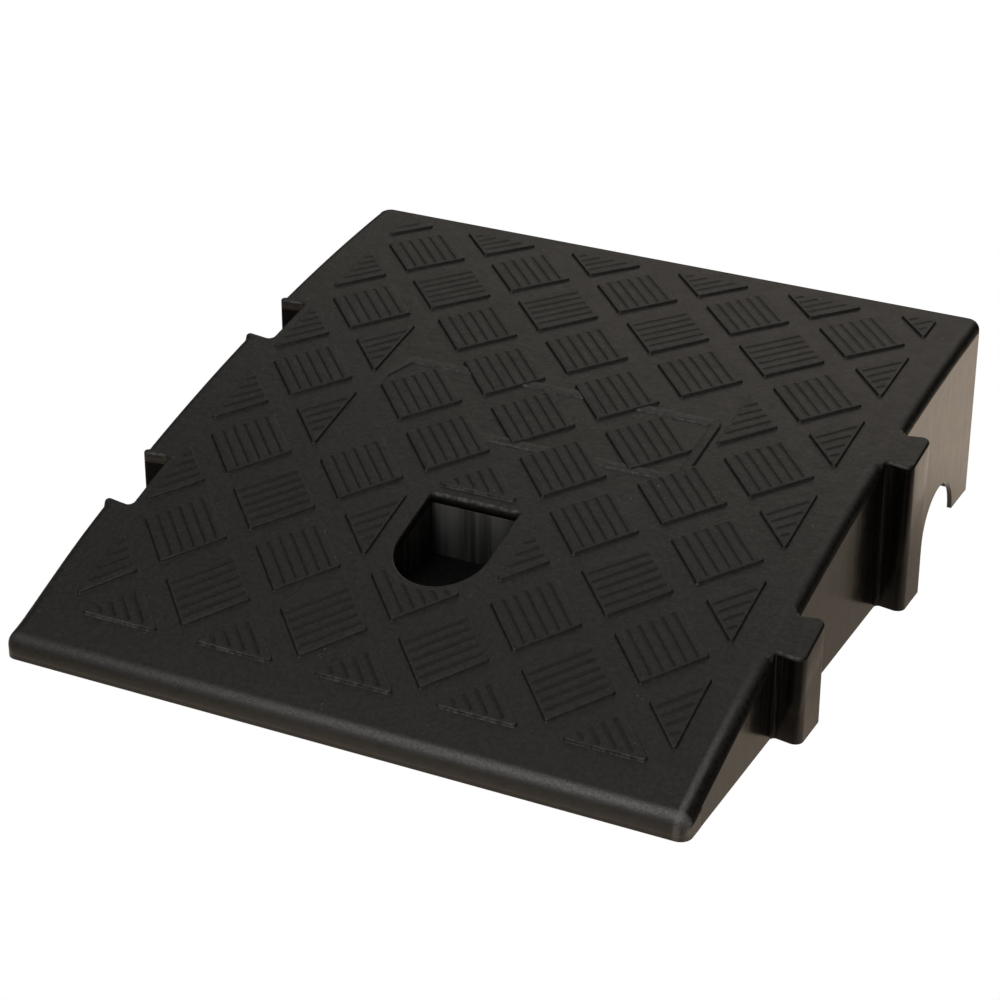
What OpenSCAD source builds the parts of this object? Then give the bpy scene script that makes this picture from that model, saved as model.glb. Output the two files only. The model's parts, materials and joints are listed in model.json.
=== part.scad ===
// Plastic kerb ramp: a round-backed drive-up deck on ribbed walls, with lugs that hook into the next ramp.
// Millimetres, +Z up, +Y up the slope, +X along the front edge. The origin is the middle of the footprint.

/* [Deck] */
// Width of the deck along the front edge, lugs not counted
deck_w = 420; // [380:1:480]
// Depth of the deck from the front edge to the back wall
deck_d = 454; // [420:1:520]
// Height of the deck at the back wall
back_h = 115.5; // [100:0.5:135]
// Height of the deck where it meets the front face
toe_h = 12; // [10:0.5:16]
// Rise of the deck's curve above a straight slope
crown = 19; // [12:0.5:26]
// Thickness of the deck
deck_t = 6; // [5:0.5:9]
// Radius along the deck's side edges, at most the deck's thickness
deck_edge_r = 6; // [2:0.5:8]

/* [Front toe and back wall] */
// Depth of the solid toe at the front edge
toe_d = 18; // [14:1:26]
// Radius along the toe's upper edge
toe_r = 6; // [2:0.5:7]
// Radius of the two front corners in plan
corner_r = 7; // [4:0.5:13]
// Thickness of the back wall
back_t = 7; // [6:0.5:10]
// Radius along the back wall's upper edge
back_r = 6; // [2:0.5:6]
// Radius of the two back corners in plan
back_corner_r = 7; // [2:0.5:9]

/* [Side walls and drain] */
// Thickness of the side walls
wall_t = 3; // [2.5:0.5:6]
// Radius of the drain arch at the foot of each side wall
arch_r = 28; // [20:1:32]
// Distance from the back face to the middle of the drain arch
arch_from_back = 64; // [58:1:72]

/* [Lugs and sockets] */
// Distance from the front edge to the middle of the front lug
front_lug_y = 130; // [115:1:140]
// Distance from the back face to the middle of the rear lug
rear_lug_from_back = 160; // [150:1:180]
// How far a lug stands out from the right wall
lug_out = 17; // [14:0.5:20]
// Narrowest width of a lug, at its neck
lug_neck = 29; // [25:0.5:35]
// Extra width of a lug's head over its neck
lug_flare = 3; // [2:0.5:6]
// Radius of the hollow between a lug's neck and the wall
lug_neck_r = 2.5; // [2:0.5:4]
// Radius of the corners of a lug's head
lug_head_r = 3.5; // [2:0.5:5]
// Room between a lug and each flank of the socket it hooks into
lug_side_play = 5; // [2:0.5:6]
// Room between a lug and the bottom of the socket
lug_end_play = 1; // [1:0.5:4]
// Thickness of the wall behind a socket
socket_t = 4; // [3:0.5:6]
// Flat of the left wall's face between a socket's rounded lip and the end of its wall
socket_lip = 1.5; // [1:0.5:4]

/* [Anchor well] */
// How far the well lies to the right of the deck's middle
well_shift = 2.5; // [0:0.5:5]
// Distance from the front edge to the centre of the well's round front
well_y = 131; // [124:1:136]
// Radius of the well's round front, half the well's width
well_r = 28; // [24:0.5:31]
// Distance from the centre of the round front to the straight back
well_back = 39.5; // [32:0.5:42]
// Thickness of the well's wall
well_t = 4; // [3:0.5:5]
// Height of the well's floor above the ground
well_floor_z = 30; // [22:1:34]
// Thickness of the well's floor
well_floor_t = 5; // [4:0.5:8]
// Radius of the anchor hole in the well's floor
anchor_r = 9; // [6:0.5:12]

/* [Tread] */
// Height of a tread pad above the deck
pad_h = 1.5; // [1:0.1:3]
// Diagonal of a tread pad
pad_diagonal = 56; // [48:0.5:60]
// Margin from the deck's sides to the middle of the half pads there
tread_side = 22.5; // [18:0.5:26]
// Margin from the front edge to the middle of the first row
tread_front = 26; // [24:0.5:32]
// Margin from the back face to the middle of the last row
tread_rear = 15.5; // [12:0.5:22]
// How far inside their middle the half pads at the tread's edges are cut
edge_cut = 2; // [0:0.5:4]
// Plain strip beside the well
well_side_strip = 12.5; // [8:0.5:16]
// Plain strip behind the well
well_back_strip = 7; // [5:0.5:12]
// Plain strip round the well's front
well_front_strip = 4; // [2:0.5:7]
// Grooves on a full pad
groove_count = 5; // [3:1:6]
// Distance between the middles of two grooves
groove_pitch = 6.7; // [5:0.1:7]
// Width of a groove
groove_w = 1.7; // [0.8:0.1:2.4]
// Depth of a groove
groove_depth = 0.7; // [0.4:0.1:1.2]
// Plain border of a pad round the ends of its grooves
groove_border = 2; // [1.5:0.5:4]

/* [Panel] */
// Width of the bare panel's rim in the middle of the deck
panel_w = 217; // [190:1:220]
// Depth of the bare panel's rim
panel_d = 62; // [50:1:74]
// How far the panel lies behind the middle of its row
panel_shift = 2; // [0:0.5:4]
// Width of the rim's bead
rim_w = 6; // [3:0.5:7]
// Height of the rim's bead
rim_h = 1.2; // [0.6:0.1:1.8]
// Cut across the rim's left rear corner, along the width
rim_cut_x = 10; // [6:1:20]
// Cut across the rim's left rear corner, along the depth
rim_cut_y = 22; // [10:1:30]

/* [Ribs] */
// Thickness of the ribs under the deck
rib_t = 3; // [2.5:0.5:5]
// Room between a cross rib and the well, socket or drain beside it
rib_gap = 4; // [3:0.5:8]
// Room between the drain's crown and the ribs above it
drain_gap = 6; // [3:0.5:12]

/* [Hidden] */
$fn = 96;
round_fn = 720;
arc_steps = 12;
PLASTIC = [0.17, 0.165, 0.16];
PLASTIC_PAD = [0.2, 0.195, 0.19];
PLASTIC_RIB = [0.14, 0.14, 0.14];
LONG_RIBS = 4;
CROSS_RIBS = 3;
TREAD_ROWS = 12;
PAD_COLUMNS = 5;
over = 1;

// Taller than the part, for shapes that are cut back to it
tall = 2 * back_h;

// Footprint, with the origin in the middle of the whole part
x_left = -(deck_w + lug_out) / 2;
x_right = x_left + deck_w;
x_mid = (x_left + x_right) / 2;
y_front = -deck_d / 2;
y_back = deck_d / 2;
y_toe = y_front + toe_d;
y_inner = y_back - back_t;

// Circle of the deck, through the tops of the front and back faces
rise = back_h - toe_h;
chord = sqrt(deck_d * deck_d + rise * rise);
chord_angle = atan2(rise, deck_d);
deck_r = (chord * chord / 4 + crown * crown) / (2 * crown);
axis_y = (deck_r - crown) * sin(chord_angle);
axis_z = (toe_h + back_h) / 2 - (deck_r - crown) * cos(chord_angle);
under_r = deck_r - deck_t;
sweep_margin = 1;
sweep_start = 180 + asin((axis_y - y_back) / deck_r) - sweep_margin;
sweep_end = 180 + asin((axis_y - y_front) / deck_r) + sweep_margin;

// Edges
edge = min(deck_edge_r, deck_t);
back_edge = min(back_r, back_t);
toe_corner = min(corner_r, toe_d - over);
back_corner = min(back_corner_r, back_t);

// Lugs, sockets, well and drain, measured from the origin
lug_y = [y_front + front_lug_y, y_back - rear_lug_from_back];
mouth_w = lug_neck + 2 * lug_side_play;
mouth_depth = lug_out + lug_end_play;
lug_half = lug_neck / 2 + lug_neck_r;
mouth_half = mouth_w / 2 + lug_neck_r;
socket_half = mouth_half + socket_lip;
well_cx = x_mid + well_shift;
well_cy = y_front + well_y;
well_by = well_cy + well_back;
arch_y = y_back - arch_from_back;

// Ribs: cross ribs keep clear of the well and the rear socket, the drain wall of the drain
rib_pitch = deck_w / (LONG_RIBS + 1);
drain_y = arch_y - arch_r - rib_gap - rib_t;
cross_y = [
    well_cy - well_r - well_t - rib_gap - rib_t,
    well_by + well_t + rib_gap,
    lug_y[1] - socket_half - rib_gap - rib_t,
];
hung_z = arch_r + drain_gap;

// Tread: pads stand cornerwise, every second row shifted by half a pitch
tread_x0 = x_left + tread_side;
tread_y0 = y_front + tread_front;
tread_w = deck_w - 2 * tread_side;
tread_d = deck_d - tread_front - tread_rear;
pad_pitch_x = tread_w / PAD_COLUMNS;
row_pitch = tread_d / (TREAD_ROWS - 1);
pad_side = pad_diagonal / sqrt(2);
// The panel lies in the row behind the tread's middle
PANEL_ROW = TREAD_ROWS / 2 + 1;
// Row and column of the pads that keep only the half that faces away from the panel or the well
PANEL_HALVES = [[8, -1.5], [8, 1.5], [6, -1.5]];
WELL_HALVES = [[4, -0.5], [4, 0.5]];
// Row and column of the pads on the panel, whose grooves run like those of the odd rows
PANEL_PADS = [[8, -0.5], [8, 0.5], [6, -0.5], [6, 0.5], [6, 1.5]];

function has(list, item) = len([for (one = list) if (one == item) one]) > 0;

// Plane shapes

// What is cut off an outside corner to round it, for a corner that points to +X and +Y
module corner_cut(r) {
    difference() {
        square(r + over);
        circle(r);
    }
}

// Box in plan between two corners
module plan_box(x0, y0, x1, y1) {
    translate([x0, y0]) square([x1 - x0, y1 - y0]);
}

// Points of an arc from one angle to another
function arc(centre, r, from, to) =
    [for (i = [0:arc_steps]) let (a = from + (to - from) * i / arc_steps) centre + r * [cos(a), sin(a)]];

// One flank of a lug: from the wall round the hollow of the neck, straight on, and round the head's corner
function lug_flank(neck, out) =
    let (
        neck_centre = [lug_neck_r, neck / 2 + lug_neck_r],
        head_centre = [out - lug_head_r, (neck + lug_flare) / 2 - lug_head_r],
        apart = head_centre - neck_centre,
        turn = atan2(apart[1], apart[0]) - acos((lug_neck_r + lug_head_r) / norm(apart))
    )
    concat(arc(neck_centre, lug_neck_r, 180, 360 + turn), arc(head_centre, lug_head_r, 180 + turn, 0));

// Lug that grows along +X from a wall at X = 0, with root for the part behind the wall's face
module lug_plan(neck, out, root) {
    flank = lug_flank(neck, out);
    behind = root > 0 ? [[-root, neck / 2 + lug_neck_r]] : [];
    side = concat(behind, flank);
    last = len(side) - 1;
    polygon(concat(side, [for (i = [last:-1:0]) [side[i][0], -side[i][1]]]));
}

module socket_mouth_plan(y) {
    translate([x_left, y]) lug_plan(mouth_w, mouth_depth, over);
}

module socket_block_plan(y) {
    plan_box(x_left, y - socket_half, x_left + mouth_depth + socket_t, y + socket_half);
}

// D-shaped outline of the well, grown by this much
module well_plan(grow) {
    translate([well_cx, well_cy]) circle(well_r + grow);
    plan_box(well_cx - well_r - grow, well_cy, well_cx + well_r + grow, well_by + grow);
}

// Part of the deck in front of and behind the well that has no pads, grown by this much
module well_clear_plan(grow) {
    half = well_r + well_front_strip + grow;
    translate([well_cx, well_cy]) circle(half);
    plan_box(well_cx - half, well_cy, well_cx + half, well_by + well_back_strip + grow);
}

// Solids that follow the round deck

// Turns a section of radius and X about the deck's axis
module turn_deck() {
    translate([0, axis_y, axis_z])
        rotate([0, 90, 0])
            rotate_extrude(angle = sweep_end - sweep_start, start = sweep_start, $fn = round_fn)
                children();
}

// Layer of the deck between two radii, wider than the part
module deck_layer(r_in, r_out) {
    turn_deck() translate([r_in, x_left - over]) square([r_out - r_in, deck_w + lug_out + 2 * over]);
}

// Everything of this depth under the deck's top, between its rounded side edges
module deck_form(depth) {
    turn_deck() difference() {
        translate([deck_r - depth, x_left]) square([depth, deck_w]);
        translate([deck_r - edge, x_right - edge]) corner_cut(edge);
        translate([deck_r - edge, x_left + edge]) mirror([0, 1]) corner_cut(edge);
    }
}

// Upright prism over the plan, from the ground past the deck's top
module upright() {
    linear_extrude(height = tall) children();
}

// Upright member over the plan, from the ground to the underside of the deck
module under_deck() {
    intersection() {
        upright() children();
        deck_layer(under_r - tall, under_r);
    }
}

// Bar along X with a section of Y and Z, past both sides of the part
module cross_bar() {
    translate([x_left - over, 0, 0])
        rotate([90, 0, 90])
            linear_extrude(height = deck_w + 2 * over) children();
}

// What is cut off to round the upper edge of the front or back face; side is -1 at the front
module face_edge_cut(side, face_y, r) {
    cy = face_y - side * r;
    cz = axis_z + sqrt(pow(deck_r - r, 2) - pow(cy - axis_y, 2));
    reach = 3 * r;
    a = atan2(cz - axis_z, cy - axis_y);
    cross_bar() translate([cy, cz]) difference() {
        polygon([[0, 0], [side * reach, 0], [side * reach, reach], [reach * cos(a), reach * sin(a)]]);
        circle(r);
    }
}

module drain_arch(x0, x1) {
    translate([x0, arch_y, 0]) rotate([0, 90, 0]) cylinder(r = arch_r, h = x1 - x0);
}

// Shell of the ramp

// Part of a lug that lies in the deck's rounded edge, drawn past the wall's face by this much
module lug_root_plan(y, past) {
    plan_box(x_right - edge, y - lug_half, x_right + past, y + lug_half);
}

module deck() {
    color(PLASTIC) difference() {
        intersection() {
            deck_form(deck_t);
            upright() plan_box(x_left - over, y_toe, x_right + over, y_inner);
        }
        upright() well_plan(0);
        for (y = lug_y) {
            upright() socket_mouth_plan(y);
            upright() lug_root_plan(y, over);
        }
    }
}

module front_toe() {
    color(PLASTIC) difference() {
        intersection() {
            deck_form(tall);
            upright() difference() {
                plan_box(x_left, y_front, x_right, y_toe);
                translate([x_right - toe_corner, y_front + toe_corner])
                    mirror([0, 1]) corner_cut(toe_corner);
                translate([x_left + toe_corner, y_front + toe_corner])
                    rotate(180) corner_cut(toe_corner);
            }
        }
        face_edge_cut(-1, y_front, toe_r);
    }
}

module back_wall() {
    color(PLASTIC) difference() {
        intersection() {
            deck_form(tall);
            upright() difference() {
                plan_box(x_left, y_inner, x_right, y_back);
                translate([x_right - back_corner, y_back - back_corner])
                    corner_cut(back_corner);
                translate([x_left + back_corner, y_back - back_corner])
                    mirror([1, 0]) corner_cut(back_corner);
            }
        }
        face_edge_cut(1, y_back, back_edge);
    }
}

module right_wall() {
    color(PLASTIC) difference() {
        under_deck() plan_box(x_right - wall_t, y_toe, x_right, y_inner);
        drain_arch(x_right - wall_t - over, x_right + over);
    }
}

// Stretch of the left wall between two Y, open where the sockets are
module left_wall(y0, y1) {
    color(PLASTIC) difference() {
        under_deck() difference() {
            plan_box(x_left, y0, x_left + wall_t, y1);
            for (y = lug_y) socket_block_plan(y);
        }
        drain_arch(x_left - over, x_left + wall_t + over);
    }
}

module lug(y) {
    color(PLASTIC) {
        intersection() {
            upright() translate([x_right, y]) lug_plan(lug_neck, lug_out, 0);
            deck_layer(deck_r - tall, deck_r);
        }
        intersection() {
            upright() lug_root_plan(y, 0);
            deck_layer(under_r, deck_r);
        }
    }
}

module socket(y) {
    color(PLASTIC) under_deck() difference() {
        socket_block_plan(y);
        socket_mouth_plan(y);
    }
}

// Anchor well

module well_sleeve() {
    color(PLASTIC) intersection() {
        under_deck() difference() {
            well_plan(well_t);
            well_plan(0);
        }
        translate([x_left, y_front, well_floor_z - well_floor_t]) cube([deck_w, deck_d, back_h]);
    }
}

module well_floor() {
    color(PLASTIC) translate([0, 0, well_floor_z - well_floor_t]) difference() {
        linear_extrude(height = well_floor_t) well_plan(0);
        translate([well_cx, well_cy, -over]) cylinder(r = anchor_r, h = well_floor_t + 2 * over);
    }
}

// Ribs under the deck

function long_rib_x(i) = x_left + i * rib_pitch - rib_t / 2;

module drain_wall() {
    color(PLASTIC_RIB) under_deck() plan_box(x_left + wall_t, drain_y, x_right - wall_t, drain_y + rib_t);
}

module long_rib(i) {
    color(PLASTIC_RIB) under_deck() plan_box(long_rib_x(i), y_toe, long_rib_x(i) + rib_t, drain_y);
}

// Rib that hangs over the drain, from the drain wall to the back wall
module rear_rib(i) {
    color(PLASTIC_RIB) intersection() {
        under_deck() plan_box(long_rib_x(i), drain_y + rib_t, long_rib_x(i) + rib_t, y_inner);
        translate([x_left, y_front, hung_z]) cube([deck_w, deck_d, back_h]);
    }
}

// Cross rib in lengths that fit between the walls and the long ribs
module cross_rib(i) {
    y = cross_y[i - 1];
    color(PLASTIC_RIB) under_deck() difference() {
        plan_box(x_left + wall_t, y, x_right - wall_t, y + rib_t);
        for (k = [1:LONG_RIBS]) plan_box(long_rib_x(k), y - over, long_rib_x(k) + rib_t, y + rib_t + over);
    }
}

// Tread

function row_y(row) = tread_y0 + (row - 1) * row_pitch;
function column_x(column) = x_mid + column * pad_pitch_x;

// Odd rows have a pad on the middle line, even rows a half pad at both sides
function row_columns(row) =
    let (last = row % 2 == 1 ? (PAD_COLUMNS - 1) / 2 : PAD_COLUMNS / 2)
    [for (column = [-last:1:last]) column];

// Keeps the part of a pad on the outer side of X
module outer_plan(x, y, outward) {
    far = x + outward * pad_diagonal;
    plan_box(min(x, far), y - pad_diagonal, max(x, far), y + pad_diagonal);
}

// One pad cornerwise about its centre, cut at the edges of the tread and beside the panel and the well
module pad_plan(row, column, inset) {
    side = pad_side - 2 * inset;
    x = column_x(column);
    y = row_y(row);
    outward = sign(column);
    rim = edge_cut + inset;
    intersection() {
        translate([x, y]) rotate(45) square(side, center = true);
        plan_box(tread_x0 + rim, tread_y0 + rim, tread_x0 + tread_w - rim, tread_y0 + tread_d - rim);
        if (has(PANEL_HALVES, [row, column])) outer_plan(x + outward * inset, y, outward);
        if (has(WELL_HALVES, [row, column]))
            outer_plan(well_cx + outward * (well_r + well_side_strip + inset), y, outward);
    }
}

// Grooves of one pad: towards the front right on odd rows and on the panel, else towards the back right
module groove_plan(row, column) {
    turn = row % 2 == 1 || has(PANEL_PADS, [row, column]) ? -45 : 45;
    length = pad_side - 2 * groove_border;
    intersection() {
        translate([column_x(column), row_y(row)]) rotate(turn)
            for (i = [0:groove_count - 1])
                translate([-length / 2, (i - (groove_count - 1) / 2) * groove_pitch - groove_w / 2])
                    square([length, groove_w]);
        pad_plan(row, column, groove_border);
    }
}

module row_plan(row) {
    difference() {
        for (column = row_columns(row)) pad_plan(row, column, 0);
        well_clear_plan(0);
    }
}

module row_grooves_plan(row) {
    difference() {
        for (column = row_columns(row)) groove_plan(row, column);
        well_clear_plan(groove_border);
    }
}

module tread_row(row) {
    pad_r = deck_r + pad_h;
    color(PLASTIC_PAD) difference() {
        intersection() {
            deck_layer(deck_r, pad_r);
            upright() row_plan(row);
        }
        intersection() {
            deck_layer(pad_r - groove_depth, pad_r + over);
            upright() row_grooves_plan(row);
        }
    }
}

// Bare panel: a low bead round it, broken by the pads that stand on it
module panel_plan(inset) {
    x0 = x_mid - panel_w / 2;
    x1 = x_mid + panel_w / 2;
    y0 = row_y(PANEL_ROW) + panel_shift - panel_d / 2;
    y1 = row_y(PANEL_ROW) + panel_shift + panel_d / 2;
    polygon([
        [x0 + inset, y0 + inset], [x1 - inset, y0 + inset], [x1 - inset, y1 - inset],
        [x0 + inset + rim_cut_x, y1 - inset], [x0 + inset, y1 - inset - rim_cut_y],
    ]);
}

module panel_rim() {
    color(PLASTIC) intersection() {
        deck_layer(deck_r, deck_r + rim_h);
        upright() difference() {
            panel_plan(0);
            panel_plan(rim_w);
            for (row = [PANEL_ROW - 2:PANEL_ROW + 2]) row_plan(row);
        }
    }
}

deck();
front_toe();
back_wall();
right_wall();
left_wall(y_toe, lug_y[0]);  // left_wall_front
left_wall(lug_y[0], lug_y[1]);  // left_wall_middle
left_wall(lug_y[1], y_inner);  // left_wall_rear
lug(lug_y[0]);  // front_lug
lug(lug_y[1]);  // rear_lug
socket(lug_y[0]);  // front_socket
socket(lug_y[1]);  // rear_socket
well_sleeve();
well_floor();
panel_rim();
drain_wall();
for (i = [1:LONG_RIBS]) long_rib(i);
for (i = [1:LONG_RIBS]) rear_rib(i);
for (i = [1:CROSS_RIBS]) cross_rib(i);
for (i = [1:TREAD_ROWS]) tread_row(i);
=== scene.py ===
"""Looks of the plastic kerb ramp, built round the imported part. Metres, +Z up, +Y up the slope."""

import json
import math
from typing import NamedTuple

import bmesh
import bpy
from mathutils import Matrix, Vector
from mathutils.geometry import delaunay_2d_cdt

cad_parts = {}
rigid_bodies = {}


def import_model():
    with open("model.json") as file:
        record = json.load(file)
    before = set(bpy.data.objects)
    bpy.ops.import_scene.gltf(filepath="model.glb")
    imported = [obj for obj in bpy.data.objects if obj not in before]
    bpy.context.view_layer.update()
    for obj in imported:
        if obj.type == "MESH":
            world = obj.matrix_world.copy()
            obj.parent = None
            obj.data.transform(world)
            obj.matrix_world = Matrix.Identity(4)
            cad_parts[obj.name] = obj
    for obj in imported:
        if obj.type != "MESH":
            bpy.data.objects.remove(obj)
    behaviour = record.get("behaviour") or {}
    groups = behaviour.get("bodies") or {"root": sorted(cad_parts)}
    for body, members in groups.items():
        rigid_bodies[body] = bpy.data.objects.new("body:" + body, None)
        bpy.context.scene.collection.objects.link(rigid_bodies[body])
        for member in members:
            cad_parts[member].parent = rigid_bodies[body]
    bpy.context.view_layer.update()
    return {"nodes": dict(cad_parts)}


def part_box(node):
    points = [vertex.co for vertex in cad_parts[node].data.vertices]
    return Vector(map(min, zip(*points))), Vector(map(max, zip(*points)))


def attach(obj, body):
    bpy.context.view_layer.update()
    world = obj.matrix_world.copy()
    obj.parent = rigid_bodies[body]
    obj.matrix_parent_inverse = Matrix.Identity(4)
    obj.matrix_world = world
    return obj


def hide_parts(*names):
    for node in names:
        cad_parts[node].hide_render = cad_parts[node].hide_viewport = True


MM = 0.001


class Pattern(NamedTuple):
    """A noise: lumps for each metre, octaves, their falloff, and the range that is eased to 0 and 1."""
    scale: float
    detail: float = 3.0
    falloff: float = 0.6
    low: float = 0.0
    high: float = 1.0


# Deck: its heights at the front and back faces, and the rise of its curve
TOE_HEIGHT = 12 * MM
BACK_HEIGHT = 115.5 * MM
CROWN = 19 * MM
DECK_THICKNESS = 6 * MM

# Outline of the deck in plan
FRONT_CORNER = 7 * MM
BACK_CORNER = 9 * MM
OUTLINE_STEP = 6 * MM
ARC_STEPS = 10
LUG_NECK = 29 * MM
LUG_FLARE = 3 * MM
LUG_NECK_ROUND = 2.5 * MM
LUG_HEAD_ROUND = 5 * MM
SOCKET_HEAD_ROUND = 3.5 * MM
LUG_SIDE_PLAY = 5 * MM
SOCKET_MOUTH = LUG_NECK + 2 * LUG_SIDE_PLAY
SOCKET_WALL = 4 * MM

# Rounding of the outline's upper edge
SIDE_ROUND = 6 * MM
FRONT_SIDE_ROUND = 8.5 * MM
FRONT_SIDE_LENGTH = 70 * MM
FRONT_ROUND = 6 * MM
BACK_ROUND = 5.5 * MM
LUG_ROUND = 1.6 * MM
ROUND_RUN_OUT = 2.5 * MM
RUN_OUT_STEPS = 4
ROUND_STEPS = 8
SUPPORT_RING = 0.8 * MM

# Anchor well
WELL_ROUND = 1.5 * MM
WELL_BACK_ROUND = 2.2 * MM
WELL_RUN_OUT = 3 * MM
WELL_BACK_CORNER = 2 * MM
WELL_ARC_STEPS = 40
WELL_FRONT_STRIP = 4 * MM
WELL_SIDE_STRIP = 12.5 * MM
WELL_BACK_STRIP = 7 * MM

# Tread pads
PAD_DIAGONAL = 56 * MM
PAD_HEIGHT = 1.5 * MM
PAD_CORNER = 1.6 * MM
PAD_FOOT_ROUND = 0.6 * MM
PAD_FOOT_STEPS = 3
PAD_TOP_ROUND = 0.45 * MM
PAD_TOP_STEPS = 4
PAD_DRAFT = 0.2 * MM
PAD_SUNK = 0.05 * MM
EDGE_CUT = 2 * MM
PAD_COLUMNS = 5
TREAD_ROWS = 12
# Corners that turn by less than this, in degrees, stay as they are
ROUNDED_TURN = 20
CORNER_STEPS = 5
# Grooves; the margin lies between the ends of a groove's middle line and the pad's border
GROOVES = 5
GROOVE_PITCH = 6.7 * MM
GROOVE_MARGIN = 2.75 * MM
GROOVE_WIDTH = 3.0 * MM
GROOVE_DEPTH = 0.35 * MM
GROOVE_STEPS = 6
GROOVE_END_STEPS = 4
SHORTEST_GROOVE = 1.5 * MM
# Row and column of the pads of which only the half facing away from the well or the panel is there
WELL_HALVES = [(4, -0.5), (4, 0.5)]
PANEL_HALVES = [(6, -1.5), (8, -1.5), (8, 1.5)]
WELL_BACK_HALF = (5, 0)
WELL_FRONT_PAD = (3, 0)
# Row and column of the pads on the panel, whose grooves run like those of the odd rows
PANEL_PADS = [(8, -0.5), (8, 0.5), (6, -0.5), (6, 0.5), (6, 1.5)]

# Bead round the bare panel: it fades slantwise at its front left and stands up at its right end. Its pale
# tone is a painted highlight on its top, and its right end takes the darker tread plastic as painted shade
BEAD_WIDTH = 6 * MM
BEAD_HEIGHT = 0.85 * MM
BEAD_CORNER = 7 * MM
BEAD_CUT_X = 10 * MM
BEAD_CUT_Y = 22 * MM
BEAD_START = 40 * MM
BEAD_FADE = 50 * MM
BEAD_FADE_SLANT = 2
BEAD_SUNK = 0.25 * MM
BEAD_END_RISE = 0.65
BEAD_END_LENGTH = 8 * MM

# Meshes: spacing of the deck's grid, distance for welding, and what counts as touching
GRID_STEP = 8 * MM
WELD = 0.002 * MM
TOLERANCE = 0.1 * MM
# Place of the second of a piece's materials
SECOND_MATERIAL = 1
# A triangle this thin against its length is a rounding fault on a straight edge
SLIVER = 1e-5
# A groove with less slope than this against an edge runs along it
PARALLEL = 1e-6
# Triangulation: of the whole hull, and the distance at which two points are one
WHOLE_HULL = 0
SAME_POINT = 1e-7

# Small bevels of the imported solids; angles are in degrees
NODE_WELD = 0.01 * MM
FLAT_ANGLE = 1
EDGE_ANGLE = 35
EDGE_BEVEL = 0.3 * MM
EDGE_BEVEL_STEPS = 2

# Colours of the plastic, its dust and its wear, some of which also stand for painted light and shade
DECK_TONE = (0.0135, 0.0130, 0.0120)
# The grooves' tone is darker than the deck's, as painted shade in their hollows
GROOVE_SHADE_TONE = (0.0092, 0.0089, 0.0082)
WALL_TONE = (0.004, 0.0038, 0.0036)
BEAD_HIGHLIGHT_TONE = (0.028, 0.0272, 0.0256)
SPECK_COLOUR = (0.13, 0.126, 0.12)
STREAK_COLOUR = (0.05, 0.045, 0.04)
FRONT_DUST_AND_LIGHT_COLOUR = (0.052, 0.049, 0.045)
WELL_BACK_LIGHT_COLOUR = (0.135, 0.135, 0.135)
SCUFF_AND_HIGHLIGHT_COLOUR = (0.2, 0.198, 0.2)

# Plain plastic: shares of its tone in the mottle, its shine, how much its roughness changes, and its grain
MOTTLE = Pattern(scale=380, falloff=0.7, low=0.3, high=0.7)
MOTTLE_DARK = 0.4
MOTTLE_PALE = 1.6
PLAIN_SHINE = 0.5
GLOSS = Pattern(scale=90, low=0.3, high=0.7)
GLOSS_CHANGE = 0.03
GRAIN = Pattern(scale=1100, falloff=0.75)
PLAIN_GRAIN = 0.7
WALL_GRAIN = 0.06
FINE_BUMP = 0.3 * MM

# Specks in patches, with shallow waves of the surface
SPECK_PATCHES = Pattern(scale=45, low=0.5, high=0.68)
SPECKS = Pattern(scale=520, detail=1.0, low=0.7, high=0.77)
WAVES = Pattern(scale=130, detail=2.0)
WAVE_STRENGTH = 0.45
WAVE_BUMP = 1 * MM

# Upright streaks
STREAKS = Pattern(scale=260, detail=4.0, low=0.42, high=0.66)
STREAK_STRETCH = (1, 1, 0.03)
STREAK_BUMP_STRENGTH = 0.3

# Dust on the front face, which also paints its paler lit tone as painted light; its reach is measured from
# that face, its levels run from the left to the middle
FRONT_DUST_AND_LIGHT = Pattern(scale=150, detail=4.0, low=0.3, high=0.6)
FRONT_DUST_AND_LIGHT_REACH = (3.5 * MM, 0.3 * MM)
FRONT_DUST_AND_LIGHT_LEVELS = (0.25, 0.75)
FRONT_DUST_AND_LIGHT_LEAST = 0.7

# Scuffs along the front lip and the crest of the right side, which also paint the highlight bands there as
# painted highlights, by distances from the front and right faces
SCUFFS_AND_HIGHLIGHTS = Pattern(scale=700, falloff=0.75, low=0.35, high=0.65)
SCUFF_AND_HIGHLIGHT_LEAST = 0.45
LIP_START = (0.5 * MM, 3.5 * MM)
LIP_END = (8 * MM, 4 * MM)
LIP_LEVELS = (0.25, 1.0)
CREST_INNER = (-9.5 * MM, -7 * MM)
CREST_OUTER = (-3.5 * MM, -6 * MM)
CREST_LENGTH = 120 * MM
CREST_LEVELS = (0.75, 0.03)

# Rubbed edges that lean forwards, also painted highlights on those edges, by distance from the front face
# and by the parts of their normal
RUBS_AND_HIGHLIGHTS = Pattern(scale=300, falloff=0.7, low=0.35, high=0.7)
RUB_AND_HIGHLIGHT_LEVEL = 0.5
RUB_AND_HIGHLIGHT_START = (8 * MM, 12 * MM)
RUB_AND_HIGHLIGHT_FORWARDS = (-0.35, -0.6)
RUB_AND_HIGHLIGHT_UPWARDS = (0.1, 0.4)
RUB_AND_HIGHLIGHT_SIDEWAYS = (0.08, 0.02)

# Painted light on the well's back, in streaks, fading to painted shade towards the well's floor; its levels
# run from the well's floor to the deck
WELL_BACK_LIGHT = Pattern(scale=130, detail=4.0, low=0.35, high=0.6)
WELL_BACK_LIGHT_FORWARDS = (-0.3, -0.95)
WELL_BACK_LIGHT_LEVELS = (0.3, 1.2)
WELL_BACK_LIGHT_LEAST = 0.35

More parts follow.
